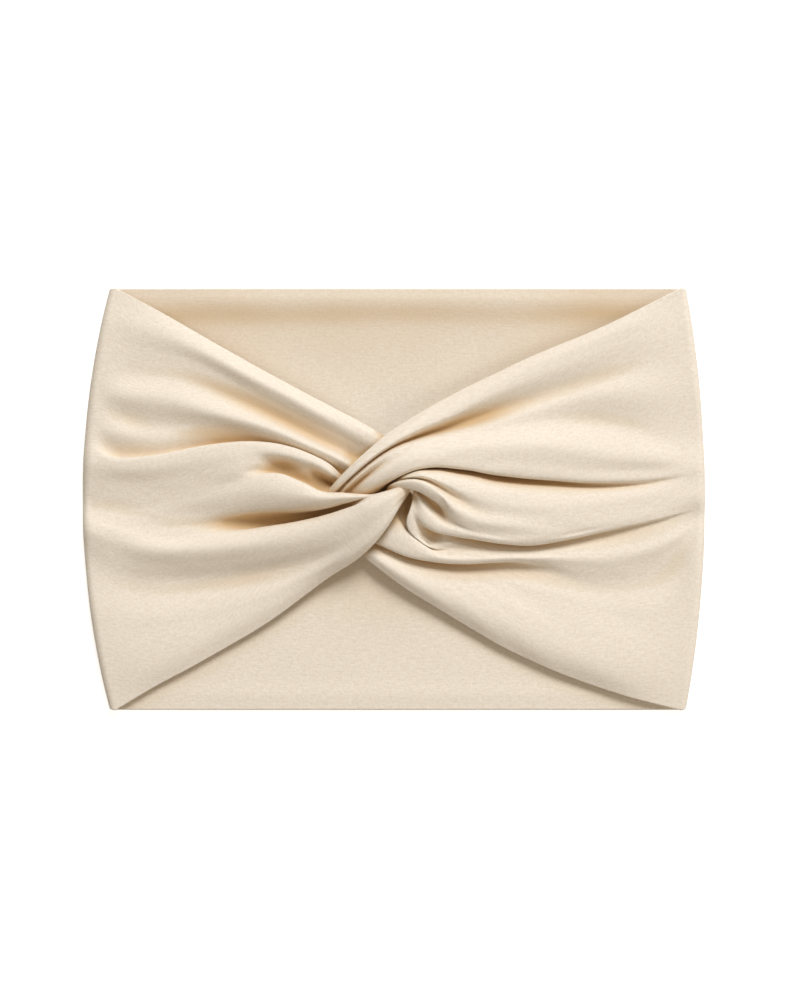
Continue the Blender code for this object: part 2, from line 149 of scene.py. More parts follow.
# Fold lines of the right front, from the upper edge of its crossing strand to its lower edge.
RIGHT_FOLDS = {
    "upper_edge": (((-26, 0.6, 6.6), (-23.4, 4, 8), (-16.3, 11.6, 9.8), (-8.9, 18.4, 9.6),
        (-3.4, 23.2, 8.6), (3, 27.6, 7.4), (16, 35.4, 5.8), (43, 49, 4.2), (82.7, 66.2, 3.7)), 77.4),
    "strand_shoulder": (((-25, 0.2, 7), (-22, 4, 9), (-15, 11.2, 11.2), (-7.6, 17.6, 11.2),
        (-1.8, 22, 10.6), (5, 26.4, 9.8), (18, 33.4, 8.4), (45, 46.6, 6.6), (83, 63, 5.2)), 73),
    "first_ridge": (((-24, 0, 7), (-20.4, 4.4, 9.4), (-13.6, 10.8, 11.6), (-5.8, 17, 11.8), (1, 21.4, 11.2),
        (9, 25.6, 10.2), (20, 30.4, 9), (43, 42, 7.2), (75, 55, 5.8)), 66),
    "strand_valley": (((-22.6, -0.2, 6), (-19, 4.5, 7), (-13.4, 9.7, 8.6), (-7.4, 14.5, 8.9),
        (0, 19.2, 8.3), (8, 22.5, 6.6), (18, 25.7, 5.2), (34.5, 31, 4.2), (53, 36.6, 4.2),
        (77.5, 44.4, 4.3)), 53),
    "second_lip": (((-21, -0.4, 6.6), (-17.7, 3.9, 8.8), (-12.5, 8.6, 10.6), (-6.2, 13.4, 11.4),
        (0.8, 17.7, 11.3), (8.8, 20.7, 10.4), (19.4, 23.2, 9.1), (36, 27.2, 7.1), (56, 33.8, 5.5),
        (72, 38.8, 5.4), (88, 41, 5.6)), 42.6),
    "strand_crease": (((-19.6, -0.6, 4.4), (-16.6, 2.9, 6.2), (-10.9, 7.9, 8.2), (-4.8, 12.2, 10.4),
        (0.8, 15.7, 11.6), (8, 18.4, 11.6), (16, 20.8, 10.5), (36, 25, 7.6), (52, 28.4, 5.6), (70, 29, 4.5),
        (88, 25.8, 4.2), (99, 22, 4.2)), 19),
    "second_ridge": (((-15, -0.8, 6.8), (-12.6, 3.2, 9.4), (-7.6, 7.6, 11.6), (-1, 12.2, 12.6),
        (6, 15.4, 12.6), (14, 16.8, 12), (38, 19.6, 10), (66, 17.6, 8), (86, 14.4, 6.6),
        (99, 13.4, 5.7)), 14.6),
    "second_shelf": (((-12.4, -0.8, 6.6), (-9.8, 2.4, 9), (-5.8, 5.9, 11.2), (-1.6, 9.2, 12.2),
        (4, 12, 12.6), (13, 14, 12.2), (30, 14.4, 10.6), (54, 13, 8.3), (80, 10.6, 6.3),
        (97, 11, 5.4)), 12.2),
    "dark_lip": (((-9.6, -0.8, 5), (-7.5, 2.2, 7.8), (-4.3, 5.1, 9.8), (-1.5, 7, 11), (3, 9.3, 11.8),
        (8, 11.2, 12), (13, 12, 11.6), (28, 10.9, 10.2), (40, 8.8, 8.8), (55, 7.4, 7.4), (77.5, 6.2, 6.1),
        (94, 7, 5.3)), 10.4),
    "dark_tuck": (((-7.4, 0, 2.8), (-5.4, 2.6, 2.8), (-2.6, 5, 3.4), (0.6, 7.2, 5.4), (4, 9.2, 6.8),
        (8.4, 10.9, 7.2), (13, 11.6, 6.6), (28, 10.8, 4.8), (40, 8.6, 3.8), (55, 7, 3.6), (77.5, 5.2, 3.9),
        (94, 5.9, 4.4)), 9),
    "third_lip": (((-4.6, 1.4, 2.8), (-2.4, 4.4, 3.4), (0.4, 6.6, 6.8), (4, 8.3, 10.4), (9, 9.4, 12),
        (15, 8.9, 11.8), (26, 6.7, 10.6), (38, 4.6, 8.8), (54, 3, 7.2), (76, 2.4, 6), (94, 4, 5.3)), 7.4),
    "third_ridge": (((-4, 1.8, 3.2), (-2, 4.6, 4.6), (0.8, 6.5, 8.2), (5, 7.9, 11.4), (11, 8.2, 12.6),
        (18, 5.6, 12.2), (26, 2, 11.4), (38, -1, 10), (54, -2.2, 8.6), (76, -0.8, 6.9), (95, 1.8, 5.8)), 5),
    "curl_valley": (((-3.4, 2, 3.6), (-1.7, 4.8, 6), (1, 6.4, 8.8), (5, 7.4, 10), (10, 7.2, 10.4),
        (16, 5, 10.2), (22, 1.2, 10), (30, -3.8, 9.8), (44, -6, 9.2), (58, -6, 8.3), (78, -3.6, 6.9),
        (96, -0.6, 5.8)), 2.8),
    "curl_ridge": (((-2.8, 2.2, 6), (-1, 4.8, 9.8), (3, 6.2, 11.8), (8, 6.6, 13.2), (13, 4.8, 13.2),
        (18, 0.8, 12.4), (23, -4, 11.6), (31, -7.8, 10.6), (44, -10, 9.4), (58, -10, 8.2), (78, -6.2, 6.9),
        (96, -2.8, 5.8)), 1),
    "curl_lip": (((-2, 2, 6.4), (0.6, 3.8, 9.8), (4.4, 4.3, 11.6), (8, 3.6, 12.3), (12.4, 1.6, 12.2),
        (16.2, -0.6, 11.6), (18.8, -2.2, 11), (20.2, -5.4, 10.4), (25, -9.4, 9.9), (35, -12, 9.2),
        (50, -13.2, 8.6), (66, -11.4, 7.4), (82, -8, 6.6), (98, -4.4, 5.7)), -0.8),
    "curl_tuck": (((2.4, 3.6, 5), (6.2, 4.4, 6.4), (10.4, 1.7, 6.8), (14, -1.2, 6.4), (16.8, -3.8, 6.4),
        (19.2, -7.4, 8.4), (25.6, -10.8, 9.2), (36, -13.2, 8.9), (51, -14.6, 8.4), (66, -12.9, 7),
        (82, -9, 6.5), (98, -5.4, 5.6)), -1.8),
    "inner_ridge": (((6.4, 4.9, 7.4), (7.3, 2.6, 8.8), (8.8, 0.2, 9.4), (11.2, -3.8, 9.6), (14, -7.4, 9.6),
        (18.6, -10.4, 9.4), (26, -12.9, 9.2), (36, -14.6, 8.9), (51, -15.8, 8), (66, -13.6, 7),
        (82, -9.9, 6.3), (98, -6.3, 5.5)), -2.6),
    "inner_lip": (((6.6, 4.5, 7), (7.1, 1.6, 8.2), (7.8, -1.5, 8.7), (8.6, -5, 9), (10.4, -8.6, 9),
        (14, -11.2, 9), (20, -13, 8.8), (30, -14.7, 8.6), (40, -16.2, 8.2), (51, -17, 7.2),
        (66, -14.6, 6.4), (82, -10.9, 5.9), (98, -7.2, 5.3)), -3.4),
    "spoon_hollow": (((6.8, 4.1, 6.8), (6.9, 0.6, 8), (6.6, -3.4, 8.8), (7.4, -7.2, 8.2),
        (10.2, -10.2, 6.2), (13.6, -12, 4.6), (16, -12.8, 5), (18.4, -13.3, 6), (22, -13.7, 5.4),
        (29, -14.5, 4.6), (40, -15.9, 4), (52, -16.5, 3.8), (66, -14.7, 3.8), (83, -11.3, 3.9),
        (98.4, -7.9, 4.2)), -4.2),
    "spoon_floor": (((6.8, 3.8, 6.8), (6.8, 0.2, 8), (6.2, -4, 8.8), (6.4, -7.8, 8.4), (8.6, -10.9, 7.2),
        (11.8, -13.4, 5.4), (14.6, -14.6, 4.9), (16.8, -15.2, 5.8), (19.4, -16, 6.4), (27, -16.8, 5.5),
        (40, -17.8, 4.9), (53, -18, 4.5), (67, -16, 4.1), (83.6, -12.8, 4), (99, -9, 4.2)), -4.9),
    "spoon_rim": (((6.8, 3.5, 6.8), (6.7, -0.4, 7.9), (5.6, -4.6, 8.6), (4.7, -8.4, 8.2), (5.5, -11.4, 7.6),
        (9, -15, 7), (12.8, -17.6, 6.6), (15.4, -18.4, 6.4), (18, -18.2, 6.2), (26, -18, 5.8),
        (40, -18.8, 5.3), (54, -18.9, 4.9), (68, -17.2, 4.5), (84, -14.4, 4.3), (99.4, -10.2, 4.4)), -5.5),
    "spoon_tuck": (((7.6, 3, 2.8), (7.7, -1, 2.8), (7, -5, 2.7), (6.2, -8.6, 2.8), (6.8, -11.4, 3.6),
        (10, -14.9, 4.2), (13.2, -17.5, 5), (16, -18.8, 5.8), (19, -18.8, 6.1), (27, -18.8, 6),
        (40, -19.4, 5.6), (55, -19.6, 5.2), (70, -17.9, 4.9), (86, -15.4, 4.7), (100, -11.2, 4.6)), -6.1),
    "hole_floor": (((2.6, 2.4, 2.7), (1.4, -3.6, 2.7), (3.3, -8.3, 2.8), (5.8, -11.9, 4.3),
        (9.8, -15.6, 5.4), (13.4, -18.2, 5.9), (16.6, -19.4, 6.2), (20, -19.4, 6.3), (28, -19.4, 6.2),
        (41, -19.9, 5.7), (56, -20, 5.3), (72, -18.6, 5.1), (89, -16.2, 5), (101, -12.2, 4.8)), -6.8),
    "lower_strand_top": (((-5, -7, 4.4), (0.4, -7.6, 5.6), (4.4, -11.4, 6.5), (9.4, -16, 6.8),
        (16, -20, 6.7), (28, -20.7, 6.5), (42, -20.6, 6), (57, -20.6, 5.4), (75, -19.6, 5.4),
        (92, -16.8, 5.3), (102.4, -13, 5)), -7.6),
    "lower_strand_ridge": (((-8, -13, 5), (-2, -14.2, 6.6), (6, -18, 7.2), (15, -21.2, 7.2),
        (28, -22.3, 6.9), (42, -21.8, 6.3), (58, -21.6, 5.7), (77, -21.6, 5.7), (94, -18.6, 5.6),
        (103.6, -14.4, 5.2)), -8.6),
    "lower_strand_lip": (((-9.6, -15.2, 4.6), (-4, -17.5, 5.8), (3.3, -20.6, 6.4), (16, -23.2, 6.5),
        (28.2, -23.8, 6.2), (40.4, -23.1, 5.6), (55, -23.4, 5), (76, -26, 4.8), (93, -23, 4.7),
        (103.6, -17.6, 4.6)), -10),
    "lower_strand_tuck": (((-9.6, -15, 2.8), (-4, -16.9, 2.7), (3.3, -19.8, 2.6), (16, -22.5, 2.6),
        (28, -23.3, 2.7), (41, -23.2, 3), (55, -25.4, 3.4), (73, -31, 3.7), (88, -29.4, 3.7),
        (102, -22.6, 3.9)), -12),
    "lower_slope": (((-10, -16, 3.6), (-3, -19.8, 4.2), (7, -24.4, 4.5), (20, -28, 4.5), (40, -30.6, 4.3),
        (62, -36.8, 4.4), (85, -42, 4.6), (101, -41, 4.6)), -37),
    "lower_ridge": (((-11, -18.2, 5), (-5, -23, 5.8), (6, -30.6, 6), (20, -39.4, 5.5), (39, -50.6, 5.1),
        (60, -60.2, 4.9), (84, -68, 4.7)), -70.5),
    "lower_edge": (((-13, -19.6, 4.4), (-6, -25.2, 4.8), (1, -30.6, 4.6), (19.7, -42.4, 4),
        (40.4, -54.6, 3.7), (59, -63.2, 3.6), (82.7, -71.6, 3.6)), -77.6),
}

# Drawn fold heights, in millimetres, are strengthened about LOW_LIE. The knot's rise has KNOT_SPREAD.
LOW_LIE = 4.6
KNOT_SPREAD = 26

# The front's columns are evenly spaced on each side of KNOT_EDGE. The piece at the knot ends at
# CUT_AT, where the piece round the side fold begins.
KNOT_EDGE = 30 * MM
CUT_AT = 100 * MM

# Heights that keep the front, from FLOOR_FROM outwards, and the back apart at the side fold.
FLOOR_FROM = 62 * MM
FRONT_FLOOR = 3.2 * MM
BACK_CEILING = 2.35 * MM

# How finely the cloth is drawn, and how round its folded edges are.
FINE_READS = 700
LEAST_ROWS = 3
SIDE_STEPS = 16
BACK_SPACING = 1.6
RIM_ROUNDNESS = 0.8
UV_PER_METRE = 10
NO_LENGTH = 1e-12
LEAST_SPAN = 1e-7

# Cloth whose rows lie closer than PINCHED, over some rows on each side, is thinned in the knot.
PINCHED = 0.5 * MM
PINCH_ROWS = 4
PINCH_LEAST = 0.25

# Fine gathers and swells of the front, fanned out from behind the knot, and how they change on the way out.
GATHER_CENTRE = 18 * MM
GATHER_LENGTH = 24 * MM
GATHER_COUNT = 16
GATHER_AT_KNOT = 1.1
GATHER_LOSS = 0.8
GATHER_SEED = 3.1
SWELL_LENGTH = 20 * MM
SWELL_COUNT = 5
SWELL_AT_SIDE = 1.3
SWELL_SEED = 7.7
FADE_IN = 5
FADE_IN_LATE = 0.6
FADE_OUT = 4

# Swells and dips of the side folds in millimetres: place up the side, spread and rise.
SIDE_SWELLS = {
    LEFT: ((78, 9, -1.4), (14, 6, 1.6), (-2, 6, -1.6), (-12, 5, 1.4), (-26, 8, -1.2), (-78, 9, -1.4)),
    RIGHT: ((78, 9, -1.4), (20, 6, -0.9), (12, 5, 0.8), (1, 5, 1.0), (-6, 4, -1.0), (-78, 9, -1.4)),
}

# Puffed rolls along the back's folded edges, as shares of the half height, weaker towards the sides.
UPPER_ROLL = 0.945
UPPER_ROLL_OUT = 0.035
UPPER_ROLL_IN = 0.075
LOWER_ROLL = -0.93
LOWER_ROLL_SPREAD = 0.045
LOWER_ROLL_PUFF = 0.4
ROLL_END = 92 * MM
ROLL_FADE = 30 * MM
ROLL_LEAST = 0.25
BACK_UNEVEN = 0.12 * MM
BACK_UNEVEN_SPANS = (26 * MM, 17 * MM)
BACK_UNEVEN_SEED = 2.3

# Plan squares from which the folds' depth is read, the depth at which the painted shade begins, and how
# much deeper it is full.
MAP_STEP = 1 * MM
MAP_MARGIN = 7
HALF_SQUARE = 0.5
SHALLOW = 0.5 * MM
DEEP = 4 * MM

# Painted shade of the back, as shares of the full painted shade at places in millimetres: the shadow under
# its upper roll, shade over its upper part, the shadow under the knot, and the shadows beside the upper and
# lower edges of the front.
ROLL_TINT = 0.36
ROLL_TINT_CHANGE = 0.14
ROLL_TINT_PLACE = 68.4
ROLL_TINT_WANDER = 1.6
ROLL_TINT_SPREAD = 4.2
UPPER_TINT = 0.26
UPPER_TINT_CHANGE = 0.6
UPPER_TINT_FROM = 30
UPPER_TINT_RISE = 30
KNOT_TINT = 0.4
KNOT_TINT_PLACE = -26
KNOT_TINT_SPREADS = (30, 18)
ABOVE_TINT = 0.15
BELOW_TINT = 0.34
BESIDE_SPREAD = 6
BESIDE_FROM = 25
TINT_SPANS = (30, 40)
TINT_SEED = 5.2
WANDER_SPAN = 45
WANDER_SEEDS = (1.7, 0.4)

# The sewn ends and the stitches behind the knot.
TURNING_ROUND = 0.4 * MM
STITCH_REACH = 0.45
STITCH_SLANT = math.radians(-24)
THREAD_SHADE = 0.86

# The stage. Each light has its name, direction, distance, size, power and colour.
LIGHTS = (
    ("key", (0.36, 1.0, 0.95), 3.0, 1.3, 73, (1.0, 1.0, 1.0)),
    ("low_fill", (0.5, -1.0, 1.2), 1.3, 0.9, 3.4, (1.0, 0.97, 0.92)),
)
WHITE = (1.0, 1.0, 1.0, 1.0)
WORLD_FILL = (1.0, 0.84, 0.64, 1.0)
WORLD_STRENGTH = 0.22
FLOOR_SIZE = 6
FLOOR_DROP = 0.4 * MM
FLOOR_GLOW = 0.7
LENS = 85
SENSOR = 36
FRAMED_HEIGHT = 0.371
CAMERA_X, CAMERA_Y = 0.4 * MM, -0.4 * MM


def length(name, default, description):
    return FloatProperty(name=name, description=description, default=default, unit="LENGTH")


def colour(name, red, green, blue, description):
    return FloatVectorProperty(name=name, description=description, subtype="COLOR", size=4,
                               default=(red, green, blue, 1.0))


class HeadbandSizes(bpy.types.PropertyGroup):
    thickness: length("Cloth thickness", 1.5 * MM, "Both plies together")
    lift: length("Front lift", 1.2 * MM, "Rise of the front over its drawn fold heights")
    relief: FloatProperty(name="Relief", description="Strength of the fold heights", default=1.3, min=0.0)
    knot_rise: length("Knot rise", 2.2 * MM, "Further rise of the cloth at the knot")
    fold_height: length("Side fold height", 6 * MM, "Height of the rounded side folds")
    left_bow: length("Left bow", 10 * MM, "How far the left side draws in at its corners")
    right_bow: length("Right bow", 7 * MM, "How far the right side draws in at its corners")
    edge_puff: length("Edge puff", 0.8 * MM, "Swelling of the back along its folded edges")
    wrinkle: length("Wrinkle depth", 0.3 * MM, "Depth of the fine gathers near the knot")
    mesh_step: length("Mesh step", 1.0 * MM, "Widest spacing of the cloth's mesh")
    thread: length("Thread", 0.45 * MM, "Diameter of the seam thread")
    stitches: IntProperty(name="Stitches", description="Stitches along the seam", default=18, min=2)


class HeadbandColours(bpy.types.PropertyGroup):
    jersey: colour("Jersey", 0.98, 0.91, 0.81, "Colour of the cloth")
    slub: colour("Slub", 0.76, 0.66, 0.52, "Colour of the darker slub yarns")
    # Painted shade: the darker, warmer colour mixed into the cloth deep in its folds and in the shade on
    # the back.
    fold: colour("Fold", 0.68, 0.49, 0.28, "Colour that the cloth takes deep in its folds")
    thread: colour("Thread", 0.85, 0.79, 0.67, "Colour of the thread")
    floor: colour("Floor", 0.92, 0.92, 0.92, "Colour of the floor")


def unit(vectors):
    return vectors / np.maximum(np.linalg.norm(vectors, axis=-1, keepdims=True), NO_LENGTH)


def steps_between(points, axis):
    """Distances from each point to the next along an axis."""
    return np.linalg.norm(np.diff(points, axis=axis), axis=-1)


def walk(steps):
    """Distances from the start, along the first axis."""
    return np.concatenate((np.zeros_like(steps[:1]), np.cumsum(steps, axis=0)))


def bell(distance, spread):
    return np.exp(-(distance / spread) ** 2)


def smooth_tangents(points):
    """Slopes and spacings for a smooth curve through points along the first axis."""
    gaps = points[1:] - points[:-1]
    spans = np.maximum(np.linalg.norm(gaps, axis=-1, keepdims=True), LEAST_SPAN)
    rates = gaps / spans
    slopes = np.empty_like(points)
    slopes[0] = rates[0]
    slopes[-1] = rates[-1]
    slopes[1:-1] = (rates[:-1] * spans[1:] + rates[1:] * spans[:-1]) / (spans[:-1] + spans[1:])
    return slopes, spans


def curve_between(points, slopes, spans, index, share):
    """The smooth curve at a share of the way from one point to the next."""
    square = share * share
    cube = square * share
    span = spans[index]
    start = (2 * cube - 3 * square + 1) * points[index] + (cube - 2 * square + share) * span * slopes[index]
    end = (3 * square - 2 * cube) * points[index + 1] + (cube - square) * span * slopes[index + 1]
    return start + end


def side_edge(side, y, sizes):
    bow = sizes.left_bow if side == LEFT else sizes.right_bow
    return HALF_WIDTH - bow * (y / HALF_HEIGHT) ** 2


def side_height(side, y, sizes):
    """Height of the side fold, which swells and dips where the folds of the front run into it."""
    swells = sum(rise * bell(y / MM - place, spread) for place, spread, rise in SIDE_SWELLS[side])
    return sizes.fold_height + swells * MM


def read_curve(knots, slopes, spans, places):
    """Reads a smooth curve at distances along its chords."""
    lengths = walk(spans[:, 0])
    reads = []
    for place in places * lengths[-1]:
        index = min(int(np.searchsorted(lengths, place, side="right")) - 1, len(spans) - 1)
        share = (place - lengths[index]) / spans[index, 0]
        reads.append(curve_between(knots, slopes, spans, index, share))
    return np.array(reads)


def fold_line(side, points, side_y, sizes, columns):
    """A fold line from the knot to the side fold's top, in even steps on each side of the knot's edge."""
    relief = []
    for x, y, z in points:
        knot = sizes.knot_rise * bell(math.hypot(x, y), KNOT_SPREAD)
        relief.append((x * MM, y * MM, (LOW_LIE + (z - LOW_LIE) * sizes.relief) * MM + sizes.lift + knot))
    end_y = side_y * MM
    end_height = side_height(side, end_y, sizes)
    relief.append((side * (side_edge(side, end_y, sizes) - end_height / 2), end_y, end_height))
    knots = np.array(relief)
    slopes, spans = smooth_tangents(knots)
    slopes[-1, 2] = 0
    fine = read_curve(knots, slopes, spans, np.linspace(0, 1, FINE_READS))
    edge = int(np.argmax(side * fine[:, 0] > KNOT_EDGE))
    stretches = []
    for stretch, steps in ((fine[:edge + 1], columns[0]), (fine[edge:], columns[1])):
        walked = walk(steps_between(stretch, 0))
        places = np.linspace(0, walked[-1], steps + 1)
        axes = [np.interp(places, walked, stretch[:, axis]) for axis in range(3)]
        stretches.append(np.stack(axes, axis=-1))
    return np.concatenate((stretches[0][:-1], stretches[1]))


def front_grid(side, folds, sizes):
    """Rows of the outer cloth face from the upper edge to the lower edge, columns from knot to side."""
    columns = (int(KNOT_EDGE / sizes.mesh_step), int((HALF_WIDTH - KNOT_EDGE) / sizes.mesh_step))
    lines = np.array([fold_line(side, points, side_y, sizes, columns) for points, side_y in folds.values()])
    slopes, spans = smooth_tangents(lines)
    rows = []
    for index in range(len(lines) - 1):
        steps = max(LEAST_ROWS, math.ceil(float(spans[index].max()) / sizes.mesh_step))
        rows.extend(curve_between(lines, slopes, spans, index, step / steps) for step in range(steps))
    rows.append(lines[-1])
    return np.array(rows)


def add_side_and_back(side, front, sizes):
    """Carries the rows round the side fold and along the ground to the centre back."""
    end = front[:, -1]
    radius = end[:, 2] / 2
    added = []
    for step in range(1, SIDE_STEPS + 1):
        turn = math.pi * step / SIDE_STEPS
        column = end.copy()
        column[:, 0] += side * radius * math.sin(turn)
        column[:, 2] = radius * (1 + math.cos(turn))
        added.append(column)
    back_steps = int(HALF_WIDTH / (BACK_SPACING * sizes.mesh_step))
    for step in range(1, back_steps + 1):
        column = end.copy()
        column[:, 0] *= 1 - step / back_steps
        column[:, 2] = 0
        added.append(column)
    return np.concatenate((front, np.stack(added, axis=1)), axis=1), front.shape[1] + SIDE_STEPS


def grid_normals(side, grid):
    return unit(-side * np.cross(np.gradient(grid, axis=1), np.gradient(grid, axis=0)))


def gather_wrinkles(side, grid, front_columns, sizes):
    """Fine gathers that run out from the knot and soft undulations of the cloth."""
    depth = np.zeros(grid.shape[:2])
    for row, column in np.ndindex(grid.shape[0], front_columns):
        out = column / front_columns
        fade = min(1.0, FADE_OUT * (1 - out)) * min(1.0, max(0.0, FADE_IN * out - FADE_IN_LATE))
        x, y = abs(grid[row, column, 0]), grid[row, column, 1]
        turn = math.atan2(y, x + GATHER_CENTRE)
        reach = math.hypot(x, y)
        gathers = noise.noise(Vector((reach / GATHER_LENGTH, turn * GATHER_COUNT, GATHER_SEED * side)))
        swell = noise.noise(Vector((reach / SWELL_LENGTH, turn * SWELL_COUNT, SWELL_SEED * side)))
        fanned = gathers * (GATHER_AT_KNOT - GATHER_LOSS * out)
        depth[row, column] = fade * (fanned + SWELL_AT_SIDE * swell * out)
    return depth * sizes.wrinkle


def pinch(grid):
    """One where the rows lie at their usual distance, less where folds are pressed together in the knot."""
    padded = np.pad(steps_between(grid, 0), ((PINCH_ROWS, PINCH_ROWS + 1), (0, 0)), mode="edge")
    window = 2 * PINCH_ROWS + 1
    mean = sum(padded[step:step + grid.shape[0]] for step in range(window)) / window
    return np.clip(mean / PINCHED, PINCH_LEAST, 1)


def cloth_thickness(grid, front_columns, sizes):
    """Thickness of the double layer, swollen along the folded edges of the back."""
    rows, columns = grid.shape[:2]
    thickness = np.full((rows, columns), sizes.thickness)
    y = grid[:, front_columns:, 1] / HALF_HEIGHT
    inward = np.clip((ROLL_END - np.abs(grid[:, front_columns:, 0])) / ROLL_FADE, 0, 1)
    upper = bell(y - UPPER_ROLL, np.where(y > UPPER_ROLL, UPPER_ROLL_OUT, UPPER_ROLL_IN))
    lower = LOWER_ROLL_PUFF * bell(y - LOWER_ROLL, LOWER_ROLL_SPREAD)
    puff = (upper + lower) * (ROLL_LEAST + (1 - ROLL_LEAST) * inward)
    thickness[:, front_columns:] += sizes.edge_puff * puff
    for row in range(rows):
        for column in range(front_columns, columns):
            x, height = grid[row, column, :2] / BACK_UNEVEN_SPANS
            thickness[row, column] += BACK_UNEVEN * noise.noise(Vector((x, height, BACK_UNEVEN_SEED)))
    return thickness * pinch(grid)


def map_places(points):
    """Columns and rows of the plan's squares at points."""
    return ((points[..., 0] + HALF_WIDTH) / MAP_STEP + MAP_MARGIN,
            (points[..., 1] + HALF_HEIGHT) / MAP_STEP + MAP_MARGIN)


def height_map(sizes):
    """Height of the highest cloth over each small square of the plan, over both fronts."""
    heights = np.zeros([int(2 * half / MAP_STEP) + 2 * MAP_MARGIN for half in (HALF_HEIGHT, HALF_WIDTH)])
    for side, folds in ((LEFT, LEFT_FOLDS), (RIGHT, RIGHT_FOLDS)):
        grid = front_grid(side, folds, sizes)
        grid = np.concatenate((grid, (grid[1:] + grid[:-1]) / 2))
        grid = np.concatenate((grid, (grid[:, 1:] + grid[:, :-1]) / 2), axis=1)
        column, row = map_places(grid)
        np.maximum.at(heights, (row.astype(int), column.astype(int)), grid[..., 2])
    return heights


def shoulder_map(heights):
    """Height of the lower shoulder of each square's fold, the highest over four directions."""
    shoulders = heights.copy()
    for down, along in ((1, 0), (0, 1), (1, 1), (1, -1)):
        banks = []
        for way in (1, -1):
            bank = heights.copy()
            for step in range(1, MAP_MARGIN):
                shift = (way * step * down, way * step * along)
                bank = np.maximum(bank, np.roll(heights, shift, axis=(0, 1)))
            banks.append(bank)
        shoulders = np.maximum(shoulders, np.minimum(banks[0], banks[1]))
    around = [np.roll(shoulders, (down, along), axis=(0, 1)) for down in (-1, 0, 1) for along in (-1, 0, 1)]
    return sum(around) / len(around)


def painted_shade(front, sizes):
    """Share of the full painted shade at each point, from how deep it lies in its fold."""
    shoulders = shoulder_map(height_map(sizes))
    column, row = (place - HALF_SQUARE for place in map_places(front))
    low_column, low_row = np.floor(column).astype(int), np.floor(row).astype(int)
    right, up = column - low_column, row - low_row
    lower, upper = (shoulders[at, low_column] * (1 - right) + shoulders[at, low_column + 1] * right
                    for at in (low_row, low_row + 1))
    shoulder = lower * (1 - up) + upper * up
    return np.clip((shoulder - front[..., 2] - SHALLOW) / DEEP, 0, 1)


def edge_shade(side, back, front):
    """Soft painted shade of the back: shadows under its upper roll and the knot and beside the edges of the
    front, and shade over its upper part.
    """
    shade = np.zeros(back.shape[:2])
    reach = side * front[(0, -1), :, 0] / MM
    upper_edge, lower_edge = front[(0, -1), :, 1] / MM
    for row, column in np.ndindex(*shade.shape):
        x, y = back[row, column, :2] / MM
        uneven = noise.noise(Vector((x / TINT_SPANS[0], y / TINT_SPANS[1], TINT_SEED)))
        place = ROLL_TINT_PLACE + ROLL_TINT_WANDER * noise.noise(Vector((x / WANDER_SPAN, *WANDER_SEEDS)))
        roll = bell(y - place, ROLL_TINT_SPREAD) * (ROLL_TINT + ROLL_TINT_CHANGE * uneven)
        upper = UPPER_TINT * min(1.0, max(0.0, (y - UPPER_TINT_FROM) / UPPER_TINT_RISE))
        under = KNOT_TINT * bell(x, KNOT_TINT_SPREADS[0]) * bell(y - KNOT_TINT_PLACE, KNOT_TINT_SPREADS[1])
        above = y - np.interp(side * x, reach[0], upper_edge)
        below = np.interp(side * x, reach[1], lower_edge) - y
        beside = ABOVE_TINT * bell(above, BESIDE_SPREAD) + BELOW_TINT * bell(below, BESIDE_SPREAD)
        beside *= min(1.0, abs(x) / BESIDE_FROM)
        shade[row, column] = max(0.0, roll + under + beside + upper * (1 + UPPER_TINT_CHANGE * uneven))
    return shade


def link_new(name, mesh):
    piece = bpy.data.objects.new(name, mesh)
    bpy.context.scene.collection.objects.link(piece)
    return piece


def sheet_faces(rows, columns):
    """Faces of two matching grids, of the rims along their first and last rows and of their ends."""
    inside = rows * columns
    top_rim = 2 * inside
    low_rim = top_rim + columns
    faces = []
    for row, column in np.ndindex(rows - 1, columns - 1):
        corner = row * columns + column
        quad = (corner, corner + 1, corner + columns + 1, corner + columns)
        faces.append(quad)
        faces.append(tuple(inside + index for index in reversed(quad)))
    for column in range(columns - 1):
        for rim, row in ((top_rim, 0), (low_rim, rows - 1)):
            edge = row * columns + column
            faces.append((edge, rim + column, rim + column + 1, edge + 1))
            faces.append((rim + column, inside + edge, inside + edge + 1, rim + column + 1))
    for column in (0, columns - 1):
        for row in range(rows - 1):
            corner = row * columns + column
            faces.append((corner, corner + columns, inside + corner + columns, inside + corner))
        faces.append((column, inside + column, top_rim + column))
        last = (rows - 1) * columns + column
        faces.append((last, low_rim + column, inside + last))
    return faces


